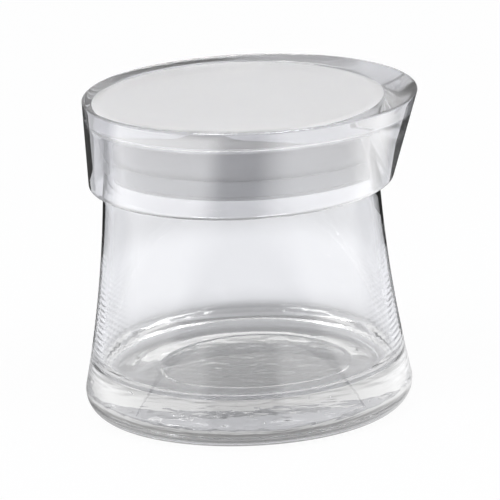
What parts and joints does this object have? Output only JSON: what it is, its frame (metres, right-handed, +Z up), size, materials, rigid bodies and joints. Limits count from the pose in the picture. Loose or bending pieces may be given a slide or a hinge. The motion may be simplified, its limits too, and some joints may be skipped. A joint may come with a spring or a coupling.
{
  "type": "dappen dish",
  "caption": "Small waisted glass dish with a thick base and a clear lift-off lid that has a one-sided finger lip, a white plug and a seal ring.",
  "frame": {"origin": "centre of the dish's foot, on the surface that it stands on", "axes": "+Z up along the axis of the dish, +X towards the lid's finger lip"},
  "size_m": [0.067, 0.064, 0.0627],
  "materials": {
    "clear_glass": "clear, fire polished, faintly wavy low down",
    "clear_acrylic": "clear gloss moulding",
    "white_polyethylene": "satin white moulding",
    "silicone_seal": "satin, milky translucent"
  },
  "bodies": {
    "dish": {"glass_dish": "clear_glass"},
    "seal": {"seal_ring": "silicone_seal"},
    "lid": {"lid_cap": "clear_acrylic", "lid_plug": "white_polyethylene"}
  },
  "joints": [
    {"name": "lid_lift", "type": "slide", "parent": "dish", "child": "seal", "axis": [0, 0, 1], "range_m": [0, 0.03]},
    {"name": "lid_turn", "type": "hinge", "parent": "seal", "child": "lid", "pos_m": [0, 0, 0.0582], "axis": [0, 0, 1], "continuous": true}
  ]
}
